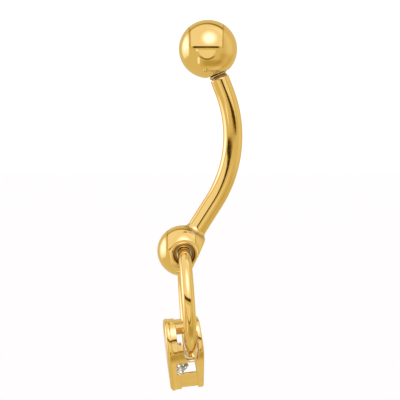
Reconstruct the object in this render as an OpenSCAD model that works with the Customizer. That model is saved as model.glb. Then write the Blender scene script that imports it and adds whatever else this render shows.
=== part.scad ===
// Navel ring: a curved bar with two balls, a wire ring and a heart setting with a clear stone.
// Millimetres. The wearer's front is -Y, the wearer's left and right are along X, up is +Z.
// The origin is on the bar's axis where the bar runs upright, in the middle of the piercing.

/* [Bar] */
// Diameter of the bar, 14 gauge
bar_d = 1.65; // [1.4:0.05:1.8]
// Radius that the bar's centre line is bent to
bend_r = 10.5; // [9:0.5:14]
// How far the bar turns above the origin, in degrees
upper_turn = 21.2; // [12:0.5:30]
// How far the bar turns below the origin, in degrees
lower_turn = 32.4; // [20:0.5:40]
// Straight run from the end of the bend to the middle of the screw ball
upper_run = 3.9; // [3.6:0.1:6]
// Straight run from the end of the bend to the middle of the lower ball
lower_run = 4.95; // [4:0.05:7]
// How much thinner the wire's radius is where it is bent
bend_thinning = 0.005; // [0.004:0.001:0.02]

/* [Screw ball] */
// Diameter of the screw ball
screw_ball_d = 5; // [4:0.1:7]
// Diameter of the small flat where the ball faces the bar
ball_flat_d = 2.1; // [1.9:0.05:2.6]
// Depth of the blind hole in the ball
ball_bore_depth = 3.3; // [2:0.1:3.6]
// Bare thread that shows between the ball and the bar's shoulder
thread_gap = 0.4; // [0.1:0.05:0.8]
// Outer diameter of the thread
thread_d = 1.6; // [1.3:0.05:1.6]
// Pitch of the thread
thread_pitch = 0.35; // [0.25:0.05:0.45]
// Depth of the thread
thread_depth = 0.19; // [0.1:0.01:0.25]
// Free length of the hole beyond the end of the thread
thread_end_gap = 0.3; // [0.1:0.05:0.6]
// Radial clearance of the thread in the ball
thread_clearance = 0.03; // [0.01:0.01:0.08]

/* [Lower ball] */
// Diameter of the lower ball
lower_ball_d = 4.35; // [4:0.05:5.5]
// Distance of the rear flat from the middle of the ball
flat_distance = 1.35; // [1.2:0.05:2]
// How far the rear flat faces below the horizontal, in degrees
flat_dip = 25.5; // [10:0.5:35]
// Radius of the fillet where the bar meets the ball
neck_fillet = 0.5; // [0.3:0.05:0.8]
// Diameter of the cross hole
hole_d = 1.75; // [1.65:0.05:1.9]
// Radius of the rounded mouth of the cross hole
hole_mouth_r = 0.3; // [0.25:0.01:0.35]
// How far the cross hole lies below the middle of the ball
hole_drop = 0.25; // [0:0.05:0.4]
// How far the cross hole lies behind the middle of the ball
hole_set_back = 0.085; // [0:0.005:0.15]

/* [Hanging ring] */
// Outer diameter of the ring
ring_d = 9.8; // [9:0.1:12]
// Diameter of its wire
wire_d = 1.1; // [0.9:0.05:1.15]
// How far the wire's middle rides above the middle of the cross hole
wire_rise = 0.25; // [0.23:0.01:0.28]
// How far the ring leans back towards its bottom, in degrees
ring_lean = 3.8; // [0:0.2:6]

/* [Heart] */
// Radius of the heart's two lobes
lobe_r = 1.6; // [1.5:0.05:1.9]
// Distance of a lobe's middle from the heart's middle line
lobe_x = 1.4; // [1.2:0.05:1.6]
// Height of the lobes' middles above the ring's lowest wire
lobe_z = 1.4; // [1.3:0.05:1.7]
// Radius of the heart's sides below the lobes
side_r = 2.7; // [2.3:0.1:3.2]
// Height on the lobe, in degrees above the horizontal, where the side begins
side_start = 15; // [8:1:25]
// Half of the angle at the heart's point, in degrees
point_angle = 45; // [40:1:48]
// Height of the cleft web's underside on the lobes, in degrees above the horizontal
web_angle = 12; // [8:1:16]
// How far the heart leans back towards its point, in degrees
heart_lean = 6.5; // [0:0.5:8]

/* [Setting] */
// Thickness of the setting's wall
wall = 0.45; // [0.35:0.05:0.5]
// Depth of the setting in front of the ring's wire middle
front_depth = 2.02; // [1.9:0.05:2.4]
// Depth of the setting behind the ring's wire middle
rear_depth = 1.15; // [1.1:0.05:1.5]
// Diameter of the rounded front rim
rim_d = 0.6; // [0.5:0.05:0.7]
// How far the rim stands proud of the wall
rim_proud = 0.05; // [0:0.01:0.1]
// Depth of the bezel from the setting's front to the gallery
bezel_depth = 0.95; // [0.8:0.05:1]
// How far the gallery wall is set in from the bezel
gallery_inset = 0.1; // [0.05:0.01:0.15]
// Width of the ledge that the stone rests on
ledge = 0.17; // [0.1:0.01:0.25]
// Thickness of that ledge
ledge_t = 0.13; // [0.08:0.01:0.15]
// Depth of the back rail
rail_depth = 0.8; // [0.7:0.05:0.9]
// Width of the bevel round the back rail's outer edge
rail_edge = 0.1; // [0.05:0.01:0.12]
// How much the back of the setting tapers, in degrees
back_taper = 3.2; // [0:0.2:5]

/* [Windows] */
// Width of the upper windows, from front to back
upper_window_w = 0.76; // [0.5:0.02:0.9]
// How far the upper windows begin in front of the ring slots
tab_inset = 0.42; // [0.3:0.02:0.5]
// Height of the upper windows' lower edge
upper_window_z = 0.8; // [0.6:0.05:1]
// Height of the upper windows
upper_window_h = 1.5; // [1:0.05:1.6]
// Height of the lower windows' lower edge below the ring's wire middle
lower_window_z = -1.7; // [-1.8:0.05:-1.5]
// Height of the lower windows
lower_window_h = 0.95; // [0.6:0.05:1]
// Width of the lower windows, from front to back
lower_window_w = 1.7; // [1.3:0.05:1.8]
// Clearance of the slots in front of and behind the wire
slot_clearance = 0.11; // [0.08:0.01:0.16]
// Play between the wire and the top of the slots that it carries the heart by
hang_play = 0.04; // [0.03:0.01:0.08]

/* [Stone] */
// Gap between the stone's girdle and the bezel
stone_gap = 0.04; // [0.03:0.01:0.06]
// Distance of the girdle behind the setting's front
girdle_depth = 0.52; // [0.48:0.01:0.6]
// Thickness of the girdle
girdle_t = 0.05; // [0.03:0.01:0.08]
// Height of the stone's crown
crown_h = 0.48; // [0.3:0.02:0.5]
// Width of the crown facets, from the girdle in to the table
crown_w = 0.7; // [0.5:0.05:0.8]
// Depth of the stone's pavilion
pavilion_h = 1.2; // [1:0.05:1.25]
// Width of the outer ring of pavilion facets as a share of the pavilion
belly = 0.45; // [0.35:0.05:0.6]
// Depth of that ring as a share of the pavilion
belly_depth = 0.43; // [0.35:0.01:0.5]
// Height of the stone's culet, measured from the ring's lowest wire
culet_z = -1.1; // [-1.3:0.05:-1]

/* [Hidden] */
$fn = 96;
gold = "goldenrod";
clear = "lightcyan";
eps = 0.01;
lap = 0.1;
reach = 20;
shrink = 0.004;
bar_r = bar_d / 2;
thread_r = thread_d / 2;
wire_r = wire_d / 2;

// Screw ball: its flat, its bore and the thread inside it, measured from the ball's middle along the bar
flat_z = -sqrt(pow(screw_ball_d / 2, 2) - pow(ball_flat_d / 2, 2));
bore_r = thread_r + thread_clearance;
shoulder_z = flat_z - thread_gap;
thread_top_z = flat_z + ball_bore_depth - thread_end_gap;
thread_turns = floor((thread_top_z - shoulder_z) / thread_pitch);
thread_core_r = thread_r - thread_depth;

// Lower ball: its middle in the upright plane of the bar, then the cross hole's middle, as [y, z]
ball_r = lower_ball_d / 2;
ball_yz = [
    bend_r * (cos(lower_turn) - 1) - lower_run * sin(lower_turn),
    -bend_r * sin(lower_turn) - lower_run * cos(lower_turn)
];
hole_yz = ball_yz + [hole_set_back, -hole_drop];
neck_r = bar_r + neck_fillet;
neck_z = sqrt(pow(ball_r + neck_fillet, 2) - pow(neck_r, 2));

// Hanging ring: its middle, and the middle of its lowest wire, as [y, z]
ring_r = ring_d / 2 - wire_r;
ring_yz = hole_yz + (ring_r - wire_rise) * [sin(ring_lean), -cos(ring_lean)];
hang_yz = ring_yz + ring_r * [sin(ring_lean), -cos(ring_lean)];

// Heart outline: lobe arcs, wide side arcs that continue them, and straight sides to the point, as [x, z]
lobe = [lobe_x, lobe_z];
side = lobe - (side_r - lobe_r) * [cos(side_start), sin(side_start)];
side_end = side + side_r * [cos(point_angle), -sin(point_angle)];
side_run = side_end[0] / sin(point_angle);
web_turn = 180 - web_angle;

// Setting: depths from front to back, as y with the ring's wire at 0
front_y = -front_depth;
bezel_y = front_y + bezel_depth;
rail_y = rear_depth - rail_depth;

// The slots' top edge rests on the wire where it leaves the gallery's outer face, in degrees round the ring
ring_in_r = ring_r - wire_r;
ring_to_lobe = norm(lobe - [0, ring_r]);
slot_turn = atan2(lobe_x, ring_r - lobe_z) + acos(
    (pow(ring_in_r, 2) + pow(ring_to_lobe, 2) - pow(lobe_r - gallery_inset, 2)) / (2 * ring_in_r * ring_to_lobe)
);
slot_top_z = ring_r - ring_in_r * cos(slot_turn) + hang_play;
slot_w = wire_d + 2 * slot_clearance;
slot_y = slot_top_z * sin(heart_lean - ring_lean) / 2 - slot_w / 2;
slot_z = lower_window_z + lower_window_h - eps;

// Stone: points of a heart that lies inset from the setting's outline, from its point up the right side to the
// cleft and down the left side, as [x, z]
girdle_y = front_y + girdle_depth;
stone_inset = wall + stone_gap;
side_facets = 3;
lobe_facets = 5;
side_turns = [for (i = [0 : side_facets - 1]) -point_angle + i * (side_start + point_angle) / side_facets];
lobe_turns = [for (i = [0 : lobe_facets]) side_start + i * (180 - web_angle / 2 - side_start) / lobe_facets];
function right_side(inset) = concat(
    [for (a = side_turns) side + (side_r - inset) * [cos(a), sin(a)]],
    [for (a = lobe_turns) lobe + (lobe_r - inset) * [cos(a), sin(a)]]
);
function inset_heart(inset) = let (half = right_side(inset), last = len(half) - 1) concat(
    [[0, half[0][1] - half[0][0] / tan(point_angle)]],
    half,
    [[0, half[last][1] - inset + stone_inset]],
    [for (i = [last : -1 : 0]) [-half[i][0], half[i][1]]]
);
stone_outline = inset_heart(stone_inset);
table_outline = inset_heart(stone_inset + crown_w);
culet = [0, culet_z];

module at_bend(turn) {
    translate([0, bend_r * (cos(turn) - 1), bend_r * sin(turn)]) rotate([turn, 0, 0]) children();
}

module at_screw_ball() {
    at_bend(upper_turn) translate([0, 0, upper_run]) children();
}

module at_lower_ball() {
    at_bend(-lower_turn) translate([0, 0, -lower_run]) children();
}

// The bent middle of the bar, which runs a little way into its straight ends
module bend() {
    turn_in = asin(lap / bend_r);
    translate([0, -bend_r, 0]) rotate([90, 0, 90]) rotate([0, 0, -lower_turn - turn_in])
        rotate_extrude(angle = upper_turn + lower_turn + 2 * turn_in)
            translate([bend_r, 0]) circle(r = bar_r - bend_thinning);
}

// The stub above the shoulder, with its thread as plain rings, rooted a little way in the bar
module threaded_stub() {
    rotate_extrude() polygon(concat(
        [[0, shoulder_z - lap], [thread_core_r, shoulder_z - lap]],
        [for (i = [0 : thread_turns - 1], step = [0, 1])
            [step == 0 ? thread_core_r : thread_r, shoulder_z + (i + step / 2) * thread_pitch]],
        [
            [thread_core_r, shoulder_z + thread_turns * thread_pitch],
            [0, shoulder_z + thread_turns * thread_pitch]
        ]
    ));
}

// Fillet between the bar and the lower ball, in the lower ball's frame
module neck() {
    rotate_extrude() difference() {
        polygon([[0, 0], [neck_r, neck_z] * ball_r / (ball_r + neck_fillet), [neck_r, neck_z], [0, neck_z]]);
        translate([neck_r, neck_z]) circle(r = neck_fillet);
    }
}

// Cross hole with rounded mouths, along X
module cross_hole() {
    mouth_x = sqrt(pow(ball_r, 2) - pow(hole_drop, 2)) - hole_mouth_r;
    mouth_edge_r = hole_d / 2 + hole_mouth_r;
    rotate([0, 90, 0]) {
        cylinder(d = hole_d, h = 3 * ball_r, center = true);
        for (s = [0, 1]) mirror([0, 0, s]) translate([0, 0, mouth_x]) rotate_extrude() difference() {
            square([mouth_edge_r, ball_r - mouth_x]);
            translate([mouth_edge_r, 0]) circle(r = hole_mouth_r);
        }
    }
}

module curved_bar() {
    color(gold) difference() {
        union() {
            bend();
            at_bend(upper_turn) cylinder(r = bar_r, h = upper_run + shoulder_z);
            at_screw_ball() threaded_stub();
            at_bend(-lower_turn) translate([0, 0, -lower_run]) cylinder(r = bar_r, h = lower_run);
            at_lower_ball() sphere(r = ball_r);
            at_lower_ball() neck();
        }
        translate([0, ball_yz[0], ball_yz[1]]) rotate([-flat_dip, 0, 0])
            translate([-ball_r, flat_distance, -ball_r]) cube(2 * ball_r);
        translate([0, hole_yz[0], hole_yz[1]]) cross_hole();
    }
}

module screw_ball() {
    color(gold) at_screw_ball() difference() {
        sphere(d = screw_ball_d);
        translate([0, 0, flat_z - screw_ball_d]) cylinder(d = screw_ball_d, h = screw_ball_d);
        translate([0, 0, flat_z - eps]) cylinder(r = bore_r, h = ball_bore_depth + eps);
    }
}

module hanging_ring() {
    color(gold) translate([0, ring_yz[0], ring_yz[1]]) rotate([ring_lean, 0, 0]) rotate([90, 0, 0])
        rotate_extrude() translate([ring_r, 0]) circle(r = wire_r);
}

// The heart's own frame: x across, z up the heart, y from front to back, its middle on the ring's lowest wire
module at_heart() {
    translate([0, hang_yz[0], hang_yz[1]]) rotate([heart_lean, 0, 0]) children();
}

// Cross section of the setting's wall: x is outward from the heart's outline, y is from front to back
module wall_section(inner = 0) {
    translate([rim_proud - rim_d / 2, front_y + rim_d / 2]) circle(d = rim_d - 2 * inner);
    polygon([
        [-wall + inner, front_y + rim_d / 2],
        [-inner, front_y + rim_d / 2],
        [-inner, bezel_y - inner],
        [-gallery_inset - inner, bezel_y - inner],
        [-gallery_inset - inner, rail_y + inner],
        [-inner, rail_y + inner],
        [-inner, rear_depth - 2 * rail_edge],
        [-rail_edge / 2, rear_depth - rail_edge / 2],
        [-2 * rail_edge, rear_depth - inner],
        [-wall + rail_edge, rear_depth - inner],
        [-wall + inner, rear_depth - rail_edge],
        [-wall + inner, bezel_y],
        [-wall - ledge + inner, bezel_y - inner],
        [-wall - ledge + inner, bezel_y - ledge_t + inner],
        [-wall + inner, bezel_y - ledge_t + inner]
    ]);
}

// Half of the wall along the heart's outline, cut at the middle line. Each stretch that is thinner by a hair
// laps a little way into the next.
module half_wall() {
    lobe_lap = lap / lobe_r * 180 / PI;
    side_lap = lap / side_r * 180 / PI;
    intersection() {
        rotate([90, 0, 0]) mirror([0, 0, 1]) {
            translate(lobe) rotate([0, 0, side_start - lobe_lap])
                rotate_extrude(angle = web_turn - side_start + lobe_lap)
                    translate([lobe_r, 0]) wall_section(2 * shrink);
            translate(side) rotate([0, 0, -point_angle - side_lap])
                rotate_extrude(angle = side_start + point_angle + side_lap)
                    translate([side_r, 0]) wall_section(shrink);
            translate(side_end) rotate([0, 0, -point_angle]) rotate([90, 0, 0])
                linear_extrude(height = side_run + 2 * wall) wall_section();
        }
        translate([0, -reach / 2, -reach / 2]) cube(reach);
    }
}

// Opening through both side walls, given by its front lower edge, its width to the back and its height
module side_cut(y, z, w, h, from_x = 0) {
    for (s = [0, 1]) mirror([s, 0, 0]) translate([from_x, y, z]) cube([reach, w, h]);
}

module heart_setting() {
    color(gold) at_heart() difference() {
        for (s = [0, 1]) mirror([s, 0, 0]) half_wall();
        side_cut(slot_y - tab_inset, upper_window_z, upper_window_w, upper_window_h, lobe_x);
        side_cut(slot_y, slot_z, slot_w, slot_top_z - slot_z, lobe_x);
        side_cut(rail_y - lower_window_w, lower_window_z, lower_window_w, lower_window_h);
        rotate([back_taper, 0, 0]) translate([-reach / 2, rear_depth, -reach / 2]) cube(reach);
    }
}

// A faceted heart stone: a table, a ring of crown facets, a girdle, and two rings of pavilion facets down to the
// culet. Every second point of the outline carries the table and the belly, where the pavilion's rings meet.
module heart_stone() {
    n = len(stone_outline);
    h = n / 2;
    belly_y = girdle_y + girdle_t + belly_depth * pavilion_h;
    points = concat(
        [for (i = [0 : 2 : n - 1]) [table_outline[i][0], girdle_y - crown_h, table_outline[i][1]]],
        [for (y = [girdle_y, girdle_y + girdle_t], p = stone_outline) [p[0], y, p[1]]],
        [for (i = [0 : 2 : n - 1])
            let (p = culet + (1 - belly) * (stone_outline[i] - culet)) [p[0], belly_y, p[1]]],
        [[0, girdle_y + girdle_t + pavilion_h, culet_z]]
    );
    crown = h;
    back = crown + n;
    mid = back + n;
    tip = mid + h;
    faces = concat(
        [[for (i = [h - 1 : -1 : 0]) i]],
        [for (i = [0 : h - 1], j = [-1, 0])
            [i, crown + (2 * i + j + 1) % n, crown + (2 * i + j + n) % n]],
        [for (i = [0 : h - 1]) [i, (i + 1) % h, crown + 2 * i + 1]],
        [for (i = [0 : n - 1]) [crown + i, crown + (i + 1) % n, back + (i + 1) % n]],
        [for (i = [0 : n - 1]) [crown + i, back + (i + 1) % n, back + i]],
        [for (i = [0 : h - 1], j = [-1, 0])
            [mid + i, back + (2 * i + j + n) % n, back + (2 * i + j + 1) % n]],
        [for (i = [0 : h - 1]) [mid + i, back + 2 * i + 1, mid + (i + 1) % h]],
        [for (i = [0 : h - 1]) [tip, mid + i, mid + (i + 1) % h]]
    );
    color(clear) at_heart() polyhedron(points, faces);
}

curved_bar();
screw_ball();
hanging_ring();
heart_setting();
heart_stone();
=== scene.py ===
# %% [markdown]
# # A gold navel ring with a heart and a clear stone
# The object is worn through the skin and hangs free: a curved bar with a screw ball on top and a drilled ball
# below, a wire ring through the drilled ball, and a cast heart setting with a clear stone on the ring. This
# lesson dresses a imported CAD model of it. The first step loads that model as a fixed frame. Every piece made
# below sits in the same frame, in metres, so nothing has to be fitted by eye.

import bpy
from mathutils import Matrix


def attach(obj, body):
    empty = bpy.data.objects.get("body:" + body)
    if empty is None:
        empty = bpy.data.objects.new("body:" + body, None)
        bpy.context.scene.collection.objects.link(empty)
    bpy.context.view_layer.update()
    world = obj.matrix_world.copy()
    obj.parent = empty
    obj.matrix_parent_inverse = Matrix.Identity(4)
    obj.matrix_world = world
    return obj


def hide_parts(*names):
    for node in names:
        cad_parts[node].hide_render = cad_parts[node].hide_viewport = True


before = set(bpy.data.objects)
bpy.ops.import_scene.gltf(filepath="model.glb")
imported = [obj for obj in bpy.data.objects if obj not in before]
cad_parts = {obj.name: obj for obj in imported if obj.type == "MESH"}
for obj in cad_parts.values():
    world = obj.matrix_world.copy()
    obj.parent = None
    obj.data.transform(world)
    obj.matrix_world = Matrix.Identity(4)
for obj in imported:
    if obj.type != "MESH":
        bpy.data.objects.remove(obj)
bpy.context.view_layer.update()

import math

import bpy
import numpy as np
from mathutils import Vector

MM = 0.001

# %% [markdown]
# ## The camera
# A jewellery photographer uses a long lens from a little distance, so that near and far parts keep nearly the
# same scale. The camera here stands at the wearer's right, level with the piece, and sees it in profile. Its
# distance follows from the lens: the photograph shows 34.2 mm from edge to edge, and a lens of focal length f
# on a sensor 36 mm wide shows that width from 34.2 f / 36 away. A short lens would bend the long thin shape
# instead.

# %% Camera in profile
VIEW_TURN = math.radians(88)
SEEN_WIDTH = 34.188 * MM
SENSOR = 36
LENS = 300
NEAREST, FARTHEST = 0.01, 5
look_at = Vector((0, -2.81, -5.47)) * MM
to_camera = Vector((math.sin(VIEW_TURN), -math.cos(VIEW_TURN), 0))
to_right = Vector((math.cos(VIEW_TURN), math.sin(VIEW_TURN), 0))

camera_data = bpy.data.cameras.new("profile_camera")
camera_data.lens = LENS
camera_data.sensor_width = SENSOR
camera_data.clip_start, camera_data.clip_end = NEAREST, FARTHEST
camera = bpy.data.objects.new("profile_camera", camera_data)
bpy.context.collection.objects.link(camera)
camera.location = look_at + to_camera * (SEEN_WIDTH * LENS / SENSOR)
camera.rotation_euler = to_camera.to_track_quat("Z", "Y").to_euler()
bpy.context.scene.camera = camera
print("camera distance in mm:", round((camera.location - look_at).length / MM, 1))

# %% [markdown]
# ## Writing shader maths as expressions
# Blender builds a material from nodes. Sums of nodes are hard to read in a script, so this small class wraps
# one socket and lets Python's own operators add the Math nodes: mask * 0.5 + 0.2 makes two of them. Every
# other kind of node comes from the one method named node.

# %% A class that turns expressions into nodes


class Socket:
    """One output of a node. + - * / and ** on it add Math nodes."""

    def __init__(self, tree, socket=None):
        self.tree, self.socket = tree, socket

    def node(self, kind, settings=None, values=None, out=0):
        """Add a node of this kind: settings first, then numbers or links for its sockets; give one output."""
        made = self.tree.nodes.new(kind)
        for name, value in (settings or {}).items():
            if name == "stops":
                ramp = made.color_ramp
                while len(ramp.elements) < len(value):
                    ramp.elements.new(0.5)
                for stop, (place, colour) in zip(ramp.elements, value):
                    stop.position, stop.color = place, colour
            else:
                setattr(made, name, value)
        for name, value in (values or {}).items():
            if isinstance(value, Socket):
                self.tree.links.new(value.socket, made.inputs[name])
            else:
                made.inputs[name].default_value = value
        return Socket(self.tree, made.outputs[out])

    def maths(self, operation, *others, flip=False):
        """Add the Math node for this operation, with this socket first, or last where flip is true."""
        terms = [self, *others]
        if flip:
            terms.reverse()
        return self.node("ShaderNodeMath", {"operation": operation}, dict(enumerate(terms)))

    def __add__(self, other): return self.maths("ADD", other)
    def __radd__(self, other): return self.maths("ADD", other, flip=True)
    def __sub__(self, other): return self.maths("SUBTRACT", other)
    def __rsub__(self, other): return self.maths("SUBTRACT", other, flip=True)
    def __mul__(self, other): return self.maths("MULTIPLY", other)
    def __rmul__(self, other): return self.maths("MULTIPLY", other, flip=True)
    def __truediv__(self, other): return self.maths("DIVIDE", other)
    def __pow__(self, other): return self.maths("POWER", other)

    def dot(self, vector):
        """Add the Vector Math node for the dot product with this vector."""
        settings = {"operation": "DOT_PRODUCT"}
        return self.node("ShaderNodeVectorMath", settings, {0: self, 1: vector}, out="Value")

    def step(self, low, high):
        """0 where this is below low, 1 where it is above high, and a smooth rise between them."""
        return self.node(
            "ShaderNodeMapRange",
            {"interpolation_type": "SMOOTHSTEP"},
            {"Value": self, "From Min": low, "From Max": high, "To Min": 0.0, "To Max": 1.0},
        )

    def band(self, low, high, soft):
        """1 between low and high, 0 outside them, with soft edges."""
        return self.step(low - soft, low + soft) * (1 - self.step(high - soft, high + soft))


def blend_colours(share, first, second):
    """The first colour where share is 0, the second where it is 1."""
    return share.node("ShaderNodeMix", {"data_type": "RGBA"}, {0: share, 6: first, 7: second}, out=2)


print("shader expressions ready")

# %% [markdown]
# ## Yellow gold
# The whole piece is cast and drawn 14 carat yellow gold, polished on a wheel. Gold has no colour of its own
# apart from its reflections: it mirrors the room and tints it yellow. So Metallic is 1, and the base colour
# is the tint. A perfect mirror looks computed, though. A polishing wheel leaves the surface a few thousandths
# of a millimetre uneven, which bends the reflections a little, and leaves faint rubbing marks, which change
# the roughness. Both come from noise on Object coordinates, which are in metres here, so a scale of 1 /
# 0.0018 is one swell every 1.8 mm. No wheel reaches into a hole, a thread or the inside of a setting: there
# the metal stays duller, which is real, and its base colour is darkened to brown, which is painted shade.
# Each piece carries an attribute, hollow, that says where, from 0 to 1.

# %% Material for the polished gold
YELLOW_GOLD = (0.99, 0.70, 0.26, 1)
WARM_GOLD = (0.98, 0.67, 0.235, 1)
# Painted shade: the dark brown that holes, threads, the neck and the setting's inside are darkened to.
PAINTED_SHADE_GOLD = (0.38, 0.24, 0.10, 1)
UNPOLISHED_ROUGHNESS = 0.16
RUBBING_MM = 0.35
RUBBING_HEIGHT = 0.03
RUBBING_ROUGHNESS = 0.05


def new_material(name):
    """A new material, its node tree and its Principled shader."""
    material = bpy.data.materials.new(name)
    material.use_nodes = True
    return material, material.node_tree, material.node_tree.nodes["Principled BSDF"]


def polished_gold(name, swell_mm, swell_height_mm, roughness):
    """Gold with swells this far apart and this high, and rubbing marks round this roughness."""
    material, tree, shader = new_material(name)
    start = Socket(tree)
    place = start.node("ShaderNodeTexCoord", out="Object")
    wide = {"Vector": place, "Scale": 1 / (swell_mm * MM), "Detail": 1.0, "Roughness": 0.4}
    fine = {"Vector": place, "Scale": 1 / (RUBBING_MM * MM), "Detail": 5.0, "Roughness": 0.65}
    swells = start.node("ShaderNodeTexNoise", {}, wide)
    rubbing = start.node("ShaderNodeTexNoise", {}, fine)
    relief = {"Strength": 1.0, "Distance": swell_height_mm * MM, "Height": swells + RUBBING_HEIGHT * rubbing}
    bump = start.node("ShaderNodeBump", {}, relief)
    hollow = start.node("ShaderNodeAttribute", {"attribute_name": "hollow"}, out="Fac")
    polished = blend_colours(swells.step(0.3, 0.7), YELLOW_GOLD, WARM_GOLD)
    # Painted shade: the base colour goes from polished gold to dark brown where the attribute is high; the
    # extra roughness there is the real duller metal.
    tree.links.new(blend_colours(hollow, polished, PAINTED_SHADE_GOLD).socket, shader.inputs["Base Color"])
    worn = roughness + RUBBING_ROUGHNESS * rubbing.step(0.35, 0.75) + UNPOLISHED_ROUGHNESS * hollow
    tree.links.new(worn.socket, shader.inputs["Roughness"])
    tree.links.new(bump.socket, shader.inputs["Normal"])
    shader.inputs["Metallic"].default_value = 1
    return material


ball_gold = polished_gold("wheel_polished_gold", swell_mm=1.8, swell_height_mm=0.004, roughness=0.05)
wire_gold = polished_gold("drawn_wire_gold", swell_mm=1.2, swell_height_mm=0.003, roughness=0.06)
cast_gold = polished_gold("cast_gold", swell_mm=0.7, swell_height_mm=0.004, roughness=0.09)
print("gold materials:", [m.name for m in (ball_gold, wire_gold, cast_gold)])

# %% [markdown]
# ## The clear stone
# Jewellery like this carries a cubic zirconia: clear, heavy, and with a refractive index of about 2.15, far
# above glass at 1.5. That high index is what throws light back out of the cut facets. In Blender,
# Transmission 1 makes the shader clear and IOR sets how strongly it bends light.

# %% Material for the stone
ZIRCONIA_INDEX = 2.15
HAZE_MM = 0.5
HAZE_ROUGHNESS = 0.03
STONE_TINT = (0.97, 0.98, 1.0, 1)
WHITE = (1, 1, 1, 1)


def clear_stone():
    """Clear stone with a trace of polishing haze."""
    material, tree, shader = new_material("clear_zirconia")
    start = Socket(tree)
    place = start.node("ShaderNodeTexCoord", out="Object")
    haze = start.node("ShaderNodeTexNoise", {}, {"Vector": place, "Scale": 1 / (HAZE_MM * MM), "Detail": 3.0})
    tree.links.new((HAZE_ROUGHNESS * haze.step(0.4, 0.8)).socket, shader.inputs["Roughness"])
    tree.links.new(blend_colours(haze, STONE_TINT, WHITE).socket, shader.inputs["Base Color"])
    shader.inputs["Transmission Weight"].default_value = 1
    shader.inputs["IOR"].default_value = ZIRCONIA_INDEX
    return material


stone_clear = clear_stone()
print("stone material:", stone_clear.name, "index", ZIRCONIA_INDEX)

# %% [markdown]
# ## Putting a surface into a mesh
# Every piece below is a surface worked out as whole numpy arrays. These helpers turn grids of points into
# quads, put them into a Blender mesh and measure the volume inside. The volume comes out positive only where
# the faces point outwards, which makes it a good test to print.

# %% Helpers for grids and meshes


def grid_quads(rows, columns, close_rows=False, close_columns=False):
    """Quads between neighbours on a rows x columns grid, as indices; a closed side runs on to its start."""
    r = np.arange(rows if close_rows else rows - 1)[:, None]
    c = np.arange(columns if close_columns else columns - 1)[None, :]
    r2, c2 = (r + 1) % rows, (c + 1) % columns
    quads = np.stack([r * columns + c, r * columns + c2, r2 * columns + c2, r2 * columns + c], axis=-1)
    return quads.reshape(-1, 4)


def fan(centre, ring, flip=False):
    """Triangles from a pole to the points of a ring."""
    after = np.roll(ring, -1)
    pole = np.full_like(ring, centre)
    return np.stack([pole, after, ring] if flip else [pole, ring, after], axis=-1)


def volume_inside(points, faces):
    """Volume inside closed faces: the sum of the tetrahedra from the origin to each triangle."""
    total = 0.0
    for corners in faces:
        for k in range(1, corners.shape[1] - 1):
            a, b, c = points[corners[:, 0]], points[corners[:, k]], points[corners[:, k + 1]]
            total += np.einsum("ij,ij->i", a, np.cross(b, c)).sum() / 6
    return total


def fade(distance, near, far):
    """1 up to the distance near, 0 from the distance far on, and s^2 (3 - 2 s) between them."""
    s = np.clip((far - distance) / (far - near), 0, 1)
    return s * s * (3 - 2 * s)


def make_piece(name, points, faces, material, body, node, hollow=None):
    """A piece from points in mm and a list of face arrays. It rides on a body and replaces a node."""
    loops = np.concatenate([f.reshape(-1) for f in faces])
    sizes = np.concatenate([np.full(len(f), f.shape[1]) for f in faces])
    mesh = bpy.data.meshes.new(name)
    mesh.vertices.add(len(points))
    mesh.vertices.foreach_set("co", (points * MM).astype(np.float32).reshape(-1))
    mesh.loops.add(len(loops))
    mesh.loops.foreach_set("vertex_index", loops.astype(np.int32))
    mesh.polygons.add(len(sizes))
    mesh.polygons.foreach_set("loop_start", np.concatenate([[0], np.cumsum(sizes)[:-1]]).astype(np.int32))
    mesh.polygons.foreach_set("use_smooth", np.ones(len(sizes), bool))
    mesh.update(calc_edges=True)
    mesh.validate()
    # The attribute says where the gold gets painted shade in its colour and a rougher, duller finish.
    if hollow is not None:
        mesh.attributes.new("hollow", "FLOAT", "POINT").data.foreach_set("value", hollow.astype(np.float32))
    mesh.materials.append(material)
    piece = bpy.data.objects.new(name, mesh)
    bpy.context.collection.objects.link(piece)
    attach(piece, body)
    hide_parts(node)
    print(name, "faces", len(mesh.polygons), "volume in cubic mm", round(volume_inside(points, faces), 3))
    return piece


def arc(centre, radius, start, end, count):
    """Points on a circle in a plane, from one angle to another in degrees, as an array of (across, up)."""
    turn = np.radians(np.linspace(start, end, count))
    return np.stack([centre[0] + radius * np.cos(turn), centre[1] + radius * np.sin(turn)], axis=-1)


print("grid helpers ready")

# %% [markdown]
# ## The bar's middle line
# The bar is drawn wire, bent to one radius of 10.5 mm with two straight ends. Here its middle line is a
# function of the distance t along it, measured up from the crest of the bend: a turn of t / 10.5 radians on
# the bend, and a straight run beyond each end. It lies in the wearer's middle plane, so only y and z change.

# %% Middle line of the bar
BAR_R = 0.825
BEND_R = 10.5
UPPER_TURN = math.radians(21.2)
LOWER_TURN = math.radians(32.4)
UPPER_RUN = 3.9
LOWER_RUN = 4.95


def bar_line(t):
    """Points and directions at t along the bar. The bend is (0, R(cos a - 1), R sin a) at a = t / R."""
    turn = np.clip(t / BEND_R, -LOWER_TURN, UPPER_TURN)
    beyond = t - turn * BEND_R
    direction = np.stack([0 * turn, -np.sin(turn), np.cos(turn)], axis=-1)
    on_bend = np.stack([0 * turn, BEND_R * (np.cos(turn) - 1), BEND_R * np.sin(turn)], axis=-1)
    return on_bend + beyond[:, None] * direction, direction


t_screw_ball = UPPER_TURN * BEND_R + UPPER_RUN
t_lower_ball = -LOWER_TURN * BEND_R - LOWER_RUN
ball_centres, ball_axes = bar_line(np.array([t_screw_ball, t_lower_ball]))
screw_ball_centre, lower_ball_centre = ball_centres
screw_axis, lower_axis = ball_axes
print("screw ball's middle", screw_ball_centre.round(3), "lower ball's middle", lower_ball_centre.round(3))
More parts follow.
